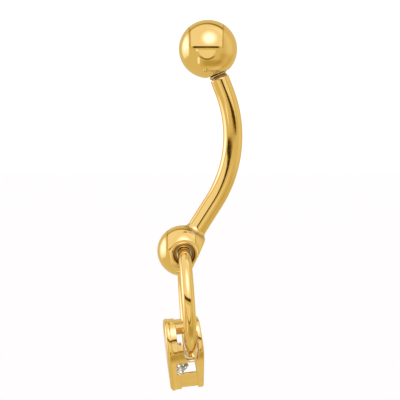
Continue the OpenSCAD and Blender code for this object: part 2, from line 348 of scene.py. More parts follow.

# %% [markdown]
# ## The screw ball
# The top ball is turned on a lathe and drilled, so it is a profile spun about the bar's axis: up the blind
# hole's wall, over the small flat that faces the bar, and round the sphere. The flat's edge is a fillet whose
# circle touches both the flat and the sphere: its middle is one fillet radius above the flat, and one fillet
# radius less than the ball's radius from the ball's middle. A UV sphere would have no hole and a pole in the
# wrong place. The attribute hollow covers the bore and the flat, where painted shade darkens the
# gold. The ball's top is as near to the axis as the bore is, so it is left out by its height.

# %% Profile and mesh of the screw ball
SCREW_BALL_R = 2.5
BALL_FLAT_R = 1.05
BORE_R = 0.83
BORE_DEPTH = 3.3
BORE_CORNER = 0.1
FLAT_FILLET = 0.12
MOUTH_FILLET = 0.05
AROUND = 144

flat_height = -math.sqrt(SCREW_BALL_R**2 - BALL_FLAT_R**2)
bore_floor = flat_height + BORE_DEPTH
fillet_height = flat_height + FLAT_FILLET
fillet_across = math.sqrt((SCREW_BALL_R - FLAT_FILLET) ** 2 - fillet_height**2)
fillet_end = math.degrees(math.atan2(fillet_height, fillet_across))
ball_profile = np.concatenate([
    [[0.3, bore_floor], [0.6, bore_floor], [BORE_R, bore_floor - BORE_CORNER]],
    np.stack([np.full(12, BORE_R), np.linspace(bore_floor - 0.3, flat_height + 0.12, 12)], axis=-1),
    arc((BORE_R + MOUTH_FILLET, flat_height + MOUTH_FILLET), MOUTH_FILLET, 180, 270, 5),
    [[0.93, flat_height], [0.98, flat_height]],
    arc((fillet_across, fillet_height), FLAT_FILLET, -90, fillet_end, 8),
    arc((0, 0), SCREW_BALL_R, fillet_end, 90, 110)[1:-1],
])


def spin(profile, centre, axis, low_pole, high_pole):
    """A profile of (across, up) spun round: centre + up * axis + across * (cos, sin), closed by two poles."""
    side = np.array([1.0, 0, 0])
    back = np.cross(axis, side)
    turn = np.linspace(0, 2 * np.pi, AROUND, endpoint=False)
    ring = np.cos(turn)[:, None] * side + np.sin(turn)[:, None] * back
    points = centre + profile[:, 1, None, None] * axis + profile[:, 0, None, None] * ring
    poles = centre + np.array([low_pole, high_pole])[:, None] * axis
    count = len(profile)
    points = np.concatenate([points.reshape(-1, 3), poles])
    first, last = np.arange(AROUND), np.arange((count - 1) * AROUND, count * AROUND)
    quads = grid_quads(count, AROUND, close_columns=True)
    return points, [quads, fan(count * AROUND, first, flip=True), fan(count * AROUND + 1, last)]


BORE_SHADE = (BORE_R + 0.03, BALL_FLAT_R + 0.1)
TOP_SKIN = (1.6, 1.9)
ball_points, ball_faces = spin(ball_profile, screw_ball_centre, screw_axis, bore_floor, SCREW_BALL_R)
ball_across = np.append(np.repeat(ball_profile[:, 0], AROUND), [0, BALL_FLAT_R])
ball_up = np.append(np.repeat(ball_profile[:, 1], AROUND), [flat_height, 0])
# Painted shade: the bore and the flat facing the bar are darkened, as the shadow where the bar meets the ball.
ball_shade_and_dullness = fade(ball_across, *BORE_SHADE) * fade(ball_up, *TOP_SKIN)
make_piece("screw_ball_dressed", ball_points, ball_faces, ball_gold, "ball", "screw_ball", hollow=ball_shade_and_dullness)

# %% [markdown]
# ## The bar and its thread
# The bar's surface is a circle carried along the middle line, with a radius that depends on where it is: a
# real helical thread above the shoulder, the plain bar, and a fillet that flares out into the lower ball. On
# the thread the radius is a triangle wave of t / pitch - angle / 360, so the crest climbs one pitch for each
# turn. The fillet is a circle that touches the bar and the ball. Past it the surface sinks just under the
# ball's skin, where it is closed. Outlines here are lists of (across, up), as distances from the middle line
# and along it.

# %% Radius of the bar along its length
THREAD_R = 0.815
THREAD_CORE_R = 0.64
PITCH = 0.35
THREAD_LENGTH = 3.15
THREAD_GAP = 0.4
THREAD_ROWS = 127
SHOULDER_EDGE = 0.07
LOWER_BALL_R = 2.175
NECK_FILLET = 0.5
BAR_AROUND = 96

t_shoulder = t_screw_ball + flat_height - THREAD_GAP
t_thread_end = t_shoulder + THREAD_LENGTH
thread_t = np.linspace(t_thread_end, t_shoulder, THREAD_ROWS)[3:-1]
neck_across = BAR_R + NECK_FILLET
neck_height = math.sqrt((LOWER_BALL_R + NECK_FILLET) ** 2 - neck_across**2)
neck_turn = math.degrees(math.atan2(neck_height, neck_across))
neck = arc((neck_across, neck_height), NECK_FILLET, 180, 180 + neck_turn, 16)
sink = np.radians(neck_turn - np.array([1.5, 3, 5, 8]))
sunk_r = LOWER_BALL_R - np.array([0.0006, 0.0025, 0.007, 0.02])
sunk = sunk_r[:, None] * np.stack([np.cos(sink), np.sin(sink)], -1)
shoulder = np.array([
    [0.70, 0.0], [BAR_R - SHOULDER_EDGE, 0.0], [BAR_R - 0.02, -0.02], [BAR_R, -SHOULDER_EDGE], [BAR_R, -0.15],
])
plain_t = np.linspace(t_shoulder - 0.3, t_lower_ball + neck_height + 0.08, 150)
print("neck fillet from height", round(neck_height, 3), "to", neck[-1].round(3))

# %% Rows of the bar, and its radius round each row
TIP = np.array([[0.3, 0.0], [0.5, 0.0], [0.58, -0.03]])
FOOT = np.array([[0.9, 1.65], [0.4, 1.6]])
FOOT_POLE = 1.58
CREST_GAIN, CREST_DROP = 1.15, 0.02
RUN_OUT = 0.2 * PITCH

line_t = np.concatenate([
    t_thread_end + TIP[:, 1],
    thread_t,
    t_shoulder + shoulder[:, 1],
    plain_t,
    t_lower_ball + neck[:, 1],
    t_lower_ball + sunk[:, 1],
    t_lower_ball + FOOT[:, 1],
])
plain_r = np.full(len(plain_t), BAR_R)
across = np.concatenate([
    TIP[:, 0], 0 * thread_t, shoulder[:, 0], plain_r, neck[:, 0], sunk[:, 0], FOOT[:, 0],
])
bar_turn = np.linspace(0, 2 * np.pi, BAR_AROUND, endpoint=False)
thread_rows = slice(len(TIP), len(TIP) + len(thread_t))
climb = thread_t[:, None] / PITCH - bar_turn[None, :] / (2 * np.pi)
wave = 1 - 2 * np.abs(climb - np.floor(climb) - 0.5)
crest = np.clip(wave * CREST_GAIN - CREST_DROP, 0, 1)
thread_start = fade(thread_t, t_thread_end - PITCH, t_thread_end)
thread_end = 1 - fade(thread_t, t_shoulder, t_shoulder + RUN_OUT)
radius = np.repeat(across[:, None], BAR_AROUND, axis=1)
crest = crest * (thread_start * thread_end)[:, None]
radius[thread_rows] = THREAD_CORE_R + (THREAD_R - THREAD_CORE_R) * crest
print("bar rows", len(line_t), "of them threaded", len(thread_t))

# %% Mesh of the bar
line, along = bar_line(line_t)
bar_side = np.array([1.0, 0, 0])
bar_back = np.cross(along, bar_side)
bar_points = (
    line[:, None, :]
    + radius[:, :, None] * np.cos(bar_turn)[None, :, None] * bar_side
    + radius[:, :, None] * np.sin(bar_turn)[None, :, None] * bar_back[:, None, :]
)
bar_poles, _ = bar_line(np.array([t_thread_end, t_lower_ball + FOOT_POLE]))
bar_rows = len(line_t)
bar_faces = [
    grid_quads(bar_rows, BAR_AROUND, close_columns=True)[:, ::-1],
    fan(bar_rows * BAR_AROUND, np.arange(BAR_AROUND)),
    fan(bar_rows * BAR_AROUND + 1, np.arange((bar_rows - 1) * BAR_AROUND, bar_rows * BAR_AROUND), flip=True),
]
bar_points = np.concatenate([bar_points.reshape(-1, 3), bar_poles])
print("bar points", len(bar_points), "volume in cubic mm", round(volume_inside(bar_points, bar_faces), 3))

# %% [markdown]
# ## The drilled lower ball
# This ball has a hole right through it, so its surface is a doughnut in the eyes of a mesh: one direction
# runs round the hole's axis, the other runs through the hole, over its rounded mouth, across the outside and
# back in. In the plane at each angle the ball's cut is a circle, and the mouth is a small circle that touches
# both it and the hole's wall. The photograph shows no daylight beside the wire in the hole, but a second,
# smaller rim inside the first. So the hole is countersunk from both sides, and narrowest where the curved
# wire crosses its axis, with just enough room there that the ring still swings freely. A small flat at the
# back is pressed in with a soft limit, so that its edge stays round. A Boolean cut would leave a sharp edge
# and long thin triangles round the hole.

# %% Surface of the drilled ball
HOLE_R = 0.875
MOUTH_R = 0.28
HOLE_SHIFT = np.array([0.085, -0.25])
FLAT_DISTANCE = 1.35
FLAT_DIP = math.radians(25.5)
FLAT_SOFT = 0.2
HOLE_AROUND = 144
RING_R = 4.35
WIRE_R = 0.55
WIRE_RISE = 0.25
WIRE_ROOM = 0.02
WIRE_SOFT = 0.01
COUNTERSINK = 0.13


def room_for_wire(x):
    """Distance from the hole's axis that the swinging wire reaches at x, and a little more. Its middle is
    d = WIRE_RISE - (R - sqrt(R^2 - x^2)) from the axis, taken as sqrt(d^2 + WIRE_SOFT^2) to leave no crease,
    and a cut across it is taller by 1 / cos of its slope."""
    drop = np.sqrt(RING_R**2 - x**2)
    middle = WIRE_RISE - (RING_R - drop)
    return np.sqrt(middle**2 + WIRE_SOFT**2) + WIRE_R * RING_R / drop + WIRE_ROOM


def drilled_ball():
    """Points of the ball with its cross hole, on a grid of angle round the hole x steps along the section."""
    turn = np.linspace(0, 2 * np.pi, HOLE_AROUND, endpoint=False)
    out = np.stack([np.cos(turn), np.sin(turn)], axis=-1)
    shift_out = out @ HOLE_SHIFT
    shift_side = HOLE_SHIFT[0] * -out[:, 1] + HOLE_SHIFT[1] * out[:, 0]
    section_r = np.sqrt(LOWER_BALL_R**2 - shift_side**2)
    mouth_across = HOLE_R + MOUTH_R + shift_out
    mouth_x = np.sqrt((section_r - MOUTH_R) ** 2 - mouth_across**2)
    mouth_end = np.arctan2(mouth_x, mouth_across)
    steps = np.linspace(0, 1, 10)[None, :]
    bend = np.pi + (mouth_end - np.pi)[:, None] * steps
    mouth = np.stack([
        HOLE_R + MOUTH_R + MOUTH_R * np.cos(bend), mouth_x[:, None] + MOUTH_R * np.sin(bend)
    ], axis=-1)
    sweep = mouth_end[:, None] * np.linspace(1, -1, 96)[None, 1:-1]
    skin = np.stack([
        section_r[:, None] * np.cos(sweep) - shift_out[:, None], section_r[:, None] * np.sin(sweep)
    ], axis=-1)
    even = np.linspace(-1, 1, 74)[None, 1:-1]
    wall_x = mouth_x[:, None] * (0.4 * even + 0.6 * np.sin(even * np.pi / 2))
    opening = fade(mouth_x[:, None] - np.abs(wall_x), 0.02, COUNTERSINK)
    narrow = np.minimum(room_for_wire(wall_x), HOLE_R)
    wall = np.stack([narrow + (HOLE_R - narrow) * opening, wall_x], axis=-1)
    other = mouth[:, ::-1] * np.array([1, -1])
    section = np.concatenate([mouth, skin, other, wall], axis=1)
    return np.concatenate([
        section[..., 1:2], lower_ball_centre[1:] + HOLE_SHIFT + section[..., 0:1] * out[:, None, :]
    ], axis=-1)


def press_flat(points):
    """Limit the height of points along the flat's direction, with a soft minimum of width FLAT_SOFT."""
    facing = np.array([0, math.cos(FLAT_DIP), -math.sin(FLAT_DIP)])
    height = (points - lower_ball_centre) @ facing
    near = np.clip(FLAT_SOFT - np.abs(height - FLAT_DISTANCE), 0, None)
    pressed = np.minimum(height, FLAT_DISTANCE) - near**2 / (4 * FLAT_SOFT)
    return points + (pressed - height)[..., None] * facing


drilled = press_flat(drilled_ball())
drilled_faces = grid_quads(HOLE_AROUND, drilled.shape[1], close_rows=True, close_columns=True)
drilled = drilled.reshape(-1, 3)
print("drilled ball volume in cubic mm", round(volume_inside(drilled, [drilled_faces]), 3))

# %% [markdown]
# The bar and the drilled ball are one casting on the real piece, so they become one object here. Their two
# closed skins meet along the neck fillet, which touches the ball's skin without a crease. The wheel reaches
# neither the thread, nor the neck's inner corner, nor the cross hole, so the metal there is duller, and
# painted shade darkens its colour; hollow covers those. The smaller rim inside the hole is left
# out of the painted shade and stays bright, as in the photograph.

# %% Join bar and drilled ball
NECK_CORNER = (1.02, 1.78)
NECK_SHADE = 0.75
NECK_REACH = 2.6
INNER_RIM_R = 0.64
INNER_RIM_X = 1.25
RIM_SHINE = 0.8

near_ball = np.linalg.norm(bar_points - lower_ball_centre, axis=1) < NECK_REACH
bar_points[near_ball] = press_flat(bar_points[near_ball])
body_points = np.concatenate([bar_points, drilled])
body_faces = bar_faces + [drilled_faces + len(bar_points)]
from_ball = body_points - lower_ball_centre
up_neck = from_ball @ lower_axis
off_neck = np.linalg.norm(from_ball - up_neck[:, None] * lower_axis, axis=1)
# Painted shade: the neck's inner corner, the cross hole and the thread are darkened in colour, and the rim
# inside the hole is spared.
in_neck = NECK_SHADE * fade(np.hypot(off_neck - NECK_CORNER[0], up_neck - NECK_CORNER[1]), 0.08, 0.38)
off_hole = np.linalg.norm(from_ball[:, 1:] - HOLE_SHIFT, axis=1)
inner_rim = fade(np.abs(off_hole - INNER_RIM_R), 0.01, 0.05) * (np.abs(from_ball[:, 0]) > INNER_RIM_X)
in_hole = fade(off_hole, HOLE_R - 0.07, HOLE_R + 0.12) - RIM_SHINE * inner_rim
from_shoulder = body_points - bar_line(np.array([t_shoulder]))[0]
up_thread = from_shoulder @ screw_axis
off_axis = np.linalg.norm(from_shoulder - up_thread[:, None] * screw_axis, axis=1)
in_thread = (1 - fade(up_thread, -0.06, 0.01)) * fade(off_axis, THREAD_CORE_R, THREAD_R + 0.05)
body_shade_and_dullness = np.maximum(np.maximum(in_neck, in_hole), in_thread)
make_piece("curved_bar_dressed", body_points, body_faces, wire_gold, "bar", "curved_bar", hollow=body_shade_and_dullness)

# %% [markdown]
# ## The hanging ring
# A jump ring of round wire, soldered shut: a small circle carried round a large one. The formula for a torus
# gives it directly, with enough steps that the polished wire shows no corners.

# %% Mesh of the hanging ring
RING_LEAN = math.radians(3.8)
RING_STEPS, WIRE_STEPS = 288, 48

down_ring = np.array([0, math.sin(RING_LEAN), -math.cos(RING_LEAN)])
through_ring = np.array([0, math.cos(RING_LEAN), math.sin(RING_LEAN)])
hole_centre = lower_ball_centre + np.array([0, *HOLE_SHIFT])
ring_centre = hole_centre + (RING_R - WIRE_RISE) * down_ring
round_ring = np.linspace(0, 2 * np.pi, RING_STEPS, endpoint=False)[:, None, None]
round_wire = np.linspace(0, 2 * np.pi, WIRE_STEPS, endpoint=False)[None, :, None]
spoke = np.cos(round_ring) * down_ring + np.sin(round_ring) * np.array([1.0, 0, 0])
out_of_ring = (RING_R + WIRE_R * np.cos(round_wire)) * spoke
ring_points = ring_centre + out_of_ring + WIRE_R * np.sin(round_wire) * through_ring
ring_points = ring_points.reshape(-1, 3)
ring_faces = grid_quads(RING_STEPS, WIRE_STEPS, close_rows=True, close_columns=True)
make_piece("hanging_ring_dressed", ring_points, [ring_faces], wire_gold, "ring", "hanging_ring")

# %% [markdown]
# ## The heart's outline
# Seen from the front, half of the heart is three curves that run into each other: a straight side at 45
# degrees up from the point, a wide arc, and the lobe's arc to the cleft. Every layer of the setting is this
# outline moved in or out, so the outline is a function of a place t along it and an offset. t runs 0 to 1 on
# the straight, 1 to 2 on the wide arc, and on to 3.6 on the lobe, where the layers that lie too far in to
# meet end in a small web instead.

# %% Outline of half the heart
LOBE = np.array([1.4, 1.4])
LOBE_R = 1.6
SIDE_R = 2.7
SIDE_START = math.radians(15)
WEB_TURN = math.radians(168)
LOBE_FREE = 0.6
CLEFT_T = 3 + LOBE_FREE
side_middle = LOBE - (SIDE_R - LOBE_R) * np.array([math.cos(SIDE_START), math.sin(SIDE_START)])
POINT_TURN = math.radians(45)


def heart_outline(t, offset):
    """x and z at the places t on the outline that lies offset outside the heart, for arrays of one shape."""
    r_side, r_lobe = SIDE_R + offset, LOBE_R + offset
    side_x = side_middle[0] + r_side * math.cos(POINT_TURN)
    side_z = side_middle[1] - r_side * math.sin(POINT_TURN)
    straight = np.stack([side_x * t, side_z - side_x * (1 - t)], axis=-1)
    turn = -POINT_TURN + (SIDE_START + POINT_TURN) * (t - 1)
    wide = np.stack([side_middle[0] + r_side * np.cos(turn), side_middle[1] + r_side * np.sin(turn)], axis=-1)
    free_end = SIDE_START + (WEB_TURN - SIDE_START) * LOBE_FREE
    last = np.minimum(WEB_TURN, np.arccos(np.clip(-LOBE[0] / r_lobe, -1, 1)))
    web_r = -LOBE[0] / math.cos(WEB_TURN)
    web = np.clip(web_r - r_lobe, 0, None)
    run = np.clip(t - 2 - LOBE_FREE, 0, 1) * ((last - free_end) * r_lobe + web)
    turn = np.where(
        t < 2 + LOBE_FREE,
        SIDE_START + (WEB_TURN - SIDE_START) * (t - 2),
        free_end + np.minimum(run / r_lobe, last - free_end),
    )
    reach = r_lobe + np.clip(run - (last - free_end) * r_lobe, 0, None)
    lobe = np.stack([LOBE[0] + reach * np.cos(turn), LOBE[1] + reach * np.sin(turn)], axis=-1)
    found = np.where((t < 1)[..., None], straight, np.where((t < 2)[..., None], wide, lobe))
    found[..., 0] = np.where(t >= CLEFT_T, 0, found[..., 0])
    return found


knots = heart_outline(np.array([0.0, 1, 2, CLEFT_T]), np.zeros(4))
print("heart outline from point to cleft:", knots.round(3).tolist())

# %% [markdown]
# ## Rows of the setting, from front to back
# The setting's wall has an outer and an inner face. Each row pairs a place on the outer face with one on the
# inner, as (offset, depth). From the front: a rounded rim, a bezel that holds the stone, a thinner gallery
# with the windows, and a thicker rail at the back. Inside, a small ledge carries the stone. The ledge's back
# slopes, so that no cell of a window's wall is squeezed to nothing between the step outside and the ledge
# inside.

# %% Outer and inner rows of the wall
RIM_R = 0.3
RIM_IN, RIM_Y = -0.25, -1.72
WALL, GALLERY = -0.45, -0.1
LEDGE = -0.62
RIM_STEPS = 10
WINDOW_FRONT, BEZEL_BACK = -1.35, -1.07
SLOT_FRONT, SLOT_BACK = -0.616, 0.704
UPPER_BACK, RAIL_FRONT, REAR = -0.276, 0.35, 1.15


def rim_rows(reach, side):
    """Rows on the rim's circle, from its front round to where it meets the wall."""
    turn = np.linspace(0, reach, RIM_STEPS + 1)
    return [(RIM_IN + side * RIM_R * math.sin(a), RIM_Y - RIM_R * math.cos(a)) for a in turn]


outer_rows = rim_rows(math.pi - math.asin(-RIM_IN / RIM_R), 1) + [
    (0, -1.45), (0, WINDOW_FRONT), (0, -1.26), (0, -1.17), (0, BEZEL_BACK), (GALLERY, BEZEL_BACK),
    (GALLERY, -0.84), (GALLERY, SLOT_FRONT), (GALLERY, -0.45), (GALLERY, UPPER_BACK), (GALLERY, -0.1),
    (GALLERY, 0.12), (GALLERY, RAIL_FRONT), (0, RAIL_FRONT), (0, 0.53), (0, SLOT_BACK), (0, 0.83), (0, 0.95),
    (-0.05, 1.10), (-0.2, REAR),
]
inner_rows = rim_rows(math.pi - math.asin((RIM_IN - WALL) / RIM_R), -1) + [
    (WALL, -1.42), (WALL, WINDOW_FRONT), (WALL, -1.22), (LEDGE, -1.20), (LEDGE, -1.14), (WALL, -0.98),
    (WALL, -0.84), (WALL, SLOT_FRONT), (WALL, -0.45), (WALL, UPPER_BACK), (WALL, -0.1),
    (WALL, 0.12), (WALL, RAIL_FRONT), (WALL, 0.44), (WALL, 0.53), (WALL, SLOT_BACK), (WALL, 0.83),
    (WALL, 0.95), (WALL, 1.05), (-0.35, REAR),
]
row_depths = np.array([round(y, 3) for _, y in outer_rows])
row_window_front = outer_rows.index((0, WINDOW_FRONT))
row_bezel = outer_rows.index((GALLERY, BEZEL_BACK))
row_slot_front, row_slot_back = outer_rows.index((GALLERY, SLOT_FRONT)), outer_rows.index((0, SLOT_BACK))
row_upper_back, row_rail = outer_rows.index((GALLERY, UPPER_BACK)), outer_rows.index((GALLERY, RAIL_FRONT))
print("rows", len(outer_rows), "bezel's back", outer_rows[row_bezel], "rail's front", outer_rows[row_rail])

# %% [markdown]
# ## Columns of the setting, round the outline
# The windows have level upper and lower edges, so some columns have to lie exactly at their heights, on the
# outer face and on the inner one. At each such height the place t is known for both faces, and the columns
# between two heights are spread evenly, as many as SPREAD says for the stretch that ends there. The slot for
# the ring has a round floor, cut with a round file: there the height of the column changes from row to row,
# and follows a half circle.

# %% Columns with places for both faces
WINDOW_LOW, WINDOW_TOP = -1.70, -0.75
UPPER_LOW, SLOT_TOP, UPPER_TOP = 0.80, 1.864, 2.30
SLOT_MIDDLE, SLOT_FLOOR_R = 0.044, 0.66
TABLE_END = 2.55
SPREAD = {
    WINDOW_LOW: 18, WINDOW_TOP: 14, "floor": 3, UPPER_LOW: 22,
    SLOT_TOP: 18, UPPER_TOP: 8, "lobe": 22, "cleft": 40,
}
slot_floor = -np.sqrt(np.clip(SLOT_FLOOR_R**2 - (row_depths - SLOT_MIDDLE) ** 2, 0, None))


def place_at(heights, offset):
    """The places t where the outline at this offset passes these heights, found on a fine table."""
    t = np.linspace(0, TABLE_END, 20000)
    z = heart_outline(t, np.full_like(t, offset))[:, 1]
    return np.interp(heights, z, t)


def column_places(offset):
    """Places t for every column and row: each height is a knot, and columns between two knots are even."""
    rows = np.zeros(len(row_depths))
    ends = {"floor": place_at(slot_floor, offset), "lobe": 2 + LOBE_FREE + rows, "cleft": CLEFT_T + rows}
    places, before = [], rows
    for height, count in SPREAD.items():
        after = ends[height] if height in ends else place_at(height + rows, offset)
        places.append(np.linspace(before, after, count, endpoint=False))
        before = after
    return np.concatenate(places + [before[None]])


t_out, t_in = column_places(GALLERY), column_places(WALL)
column_at = dict(zip(SPREAD, np.cumsum(list(SPREAD.values()))))
half_columns = len(t_out)
print("columns in half the heart", half_columns, "window heights at columns", column_at)

# %% [markdown]
# ## The setting's surface and its windows
# With rows and columns known, each face of the wall is one grid. A table says which cells are metal; the
# windows and the slots for the ring are cells left out on both faces. Wherever metal ends at a window, one
# quad joins the outer face to the inner. At last the whole grid is turned to the heart's lean, and a narrow
# Bevel rounds every edge, as casting and polishing do. A Boolean would cut the same windows but leave no even
# cells for the Bevel. Its width isn't clamped: one very short cell would then keep every edge sharp.

# %% Points of the setting
HEART_LEAN = math.radians(6.5)
BACK_TAPER = math.radians(3.2)
POINT_TAPER, TAPER_START, TAPER_SOFT = 0.05, 0.3, 0.6
hang_point = ring_centre + RING_R * down_ring


def lean_heart(local):
    """Points of the heart's own frame, turned back by its lean and hung from the ring's lowest wire."""
    x, y, z = local[..., 0], local[..., 1], local[..., 2]
    c, s = math.cos(HEART_LEAN), math.sin(HEART_LEAN)
    return np.stack([x, y * c - z * s, y * s + z * c], axis=-1) + hang_point


def wall_points(rows, shares):
    """Points of one face: each row's offset and depth at every column. The back slopes forward above the
    middle, and at w below TAPER_START by POINT_TAPER * (w + sqrt(w^2 + TAPER_SOFT^2)), which bends softly."""
    offset = np.array([o for o, _ in rows])[None, :]
    depth = np.array([y for _, y in rows])[None, :]
    share = np.array(shares)[None, :]
    t = t_out * (1 - share) + t_in * share
    xz = heart_outline(t, np.broadcast_to(offset, t.shape))
    xz[0, :, 0] = 0
    below = TAPER_START - xz[..., 1]
    back = np.minimum(REAR, REAR / math.cos(BACK_TAPER) - xz[..., 1] * math.tan(BACK_TAPER))
    back = back - POINT_TAPER * (below + np.sqrt(below**2 + TAPER_SOFT**2))
    squeezed = SLOT_BACK + (depth - SLOT_BACK) * (back - SLOT_BACK) / (REAR - SLOT_BACK)
    y = np.where(depth > SLOT_BACK, squeezed, np.broadcast_to(depth, t.shape))
    return np.stack([xz[..., 0], y, xz[..., 1]], axis=-1)


row_count = len(outer_rows)
rim_share = 0.5 * np.linspace(1, 0, RIM_STEPS + 1)
outer_half = wall_points(outer_rows, list(rim_share) + [0] * (row_count - RIM_STEPS - 1))
inner_half = wall_points(inner_rows, list(1 - rim_share) + [1] * (row_count - RIM_STEPS - 1))


def both_halves(half):
    """The right half from the point to the cleft, then its mirror image back to the point."""
    return np.concatenate([half, half[-2:0:-1] * np.array([-1, 1, 1])])


outer_wall, inner_wall = both_halves(outer_half), both_halves(inner_half)
columns = len(outer_wall)
print("setting grid", outer_wall.shape, "front at depth", outer_wall[..., 1].min().round(3))

# %% Metal, windows and slots
metal_half = np.ones((half_columns - 1, row_count - 1), bool)
metal_half[column_at[UPPER_LOW]:column_at[UPPER_TOP], row_bezel - 1:row_upper_back] = False
metal_half[column_at["floor"]:column_at[SLOT_TOP], row_slot_front:row_slot_back] = False
metal_half[column_at[WINDOW_LOW]:column_at[WINDOW_TOP], row_window_front:row_rail] = False
metal = np.concatenate([metal_half, metal_half[::-1]])

index_out = np.arange(columns * row_count).reshape(columns, row_count)
index_in = index_out + columns * row_count
index_in[:, 0] = index_out[:, 0]


def cells(index, keep):
    """Quads of the kept cells of one face."""
    after = np.roll(index, -1, axis=0)
    quads = np.stack([index[:, :-1], after[:, :-1], after[:, 1:], index[:, 1:]], axis=-1)
    return quads[keep]


after_out, after_in = np.roll(index_out, -1, axis=0), np.roll(index_in, -1, axis=0)
back_strip = np.stack([index_out[:, -1], after_out[:, -1], after_in[:, -1], index_in[:, -1]], axis=-1)
c, r = np.nonzero(metal & ~np.roll(metal, -1, axis=0))
c = (c + 1) % columns
walls_up = np.stack([index_out[c, r], index_in[c, r], index_in[c, r + 1], index_out[c, r + 1]], axis=-1)
c, r = np.nonzero(~metal & np.roll(metal, -1, axis=0))
c = (c + 1) % columns
walls_down = np.stack([index_out[c, r], index_out[c, r + 1], index_in[c, r + 1], index_in[c, r]], axis=-1)
c, r = np.nonzero(metal[:, :-1] & ~metal[:, 1:])
r = r + 1
walls_back = np.stack([index_out[c, r], after_out[c, r], after_in[c, r], index_in[c, r]], axis=-1)
c, r = np.nonzero(~metal[:, :-1] & metal[:, 1:])
r = r + 1
walls_front = np.stack([index_out[c, r], index_in[c, r], after_in[c, r], after_out[c, r]], axis=-1)
window_walls = np.concatenate([walls_up, walls_down, walls_back, walls_front])
print("cells of metal", int(metal.sum()), "quads inside windows and slots", len(window_walls))

# %% Mesh of the setting
EDGE_ROUND = 0.028
EDGE_ANGLE = math.radians(35)
INSIDE_SHADE = 0.12

setting_faces = np.concatenate([
    cells(index_out, metal), cells(index_in, metal)[:, ::-1], back_strip, window_walls,
])
setting_points = lean_heart(np.concatenate([outer_wall.reshape(-1, 3), inner_wall.reshape(-1, 3)]))
used = np.unique(setting_faces)
renumber = np.zeros(len(setting_points), int)
renumber[used] = np.arange(len(used))
setting_points, setting_faces = setting_points[used], renumber[setting_faces][:, ::-1]
# Painted shade: the inner face behind the rim is darkened a little in colour, and made a little duller.
inside_rows = INSIDE_SHADE * fade(-np.arange(row_count), -RIM_STEPS - 1, -RIM_STEPS + 3)
setting_shade_and_dullness = np.append(np.zeros(columns * row_count), np.tile(inside_rows, columns))[used]
heart_setting = make_piece(
    "heart_setting_dressed", setting_points, [setting_faces], cast_gold, "heart", "heart_setting",
    hollow=setting_shade_and_dullness,
)
rounding = heart_setting.modifiers.new("polished_edges", "BEVEL")
rounding.width = EDGE_ROUND * MM
rounding.segments = 2
rounding.limit_method = "ANGLE"
rounding.angle_limit = EDGE_ANGLE
rounding.harden_normals = True
rounding.loop_slide = False
rounding.use_clamp_overlap = False
print("setting edges rounded by", EDGE_ROUND, "mm")

# %% [markdown]
# ## The stone
# The CAD stone already has the cut: a table, a ring of crown facets, a girdle and two rings of pavilion
# facets. A cut stone is flat facets with sharp edges, so nothing would be gained by making it again. It only
# gets its material.

# %% Stone from the CAD model
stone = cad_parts["heart_stone"]
stone.material_slots[0].link = "OBJECT" if stone.data.users > 1 else "DATA"
for place in stone.material_slots:
    place.material = stone_clear
print("stone facets", len(stone.data.polygons), "smooth", sum(p.use_smooth for p in stone.data.polygons))

# %% [markdown]
# ## The light tent
# Polished gold is lit by surrounding it: what the metal shows is a picture of its surroundings. Jewellery is
# shot in a white tent with one big soft window above the camera, a strip light at the side, and a narrow dark
# gap at the level of the lens. The World is the simplest way to make such a tent, since it has no walls that
# could stand in the way of another view. Its brightness is worked out from the direction that a ray leaves
# in. That direction has an elevation and an azimuth from the camera's side, in degrees. It also has a place
# on a mirror ball, which is how the photograph shows the tent: a ball of radius 1 facing the camera mirrors
# it at x = right / sqrt(2 + 2 toward) and y = up / sqrt(2 + 2 toward), where right, up and toward are the
# direction's parts along the camera's axes.

# %% Directions in the tent
world = bpy.data.worlds.new("light_tent")
bpy.context.scene.world = world
world.use_nodes = True
tent = world.node_tree
tent.nodes.clear()
start = Socket(tent)
way = start.node("ShaderNodeTexCoord", out="Generated")
toward, right, up = way.dot(tuple(to_camera)), way.dot(tuple(to_right)), way.dot((0, 0, 1))
elevation = up.maths("ARCSINE") * math.degrees(1)
azimuth = right.maths("ARCTAN2", toward) * math.degrees(1)
mirror = (2 + 2 * toward) ** 0.5
ball_x, ball_y = right / mirror, up / mirror
print("direction nodes", len(tent.nodes))

# %% [markdown]
# ## What stands in the tent
# The window starts just above the lens and ends at a seam of the roof behind the piece, which runs a little
# askew: there, toward + 0.06 up - 0.11 right is -0.385. One lamp glows through it. The table shows as a half
# round patch below the lens, with a darker edge and a dark stretch further down. Two small glints are gaps of
# daylight. The wall on the right is a little brighter than the rest, and dim near the floor. Places are on
# the mirror ball, or in degrees, and the last number of each band is its softness.

# %% Window, lamp, strip and table
WINDOW_LEFT, WINDOW_RIGHT = -0.588, 0.482
ROOF_SLANT, ROOF_ASKEW, ROOF_EDGE = 0.06, 0.11, 0.385
LAMP_X, LAMP_Y, LAMP_CORE, LAMP_REACH, LAMP_SQUASH = 0.04, 0.36, 0.05, 0.28, 0.8
TABLE_X, TABLE_Y, TABLE_HALF_WIDTH, TABLE_DEPTH = -0.035, -0.02, 0.31, 0.32
GAP_BOTTOM, GAP_TOP = 1.8, 8.6

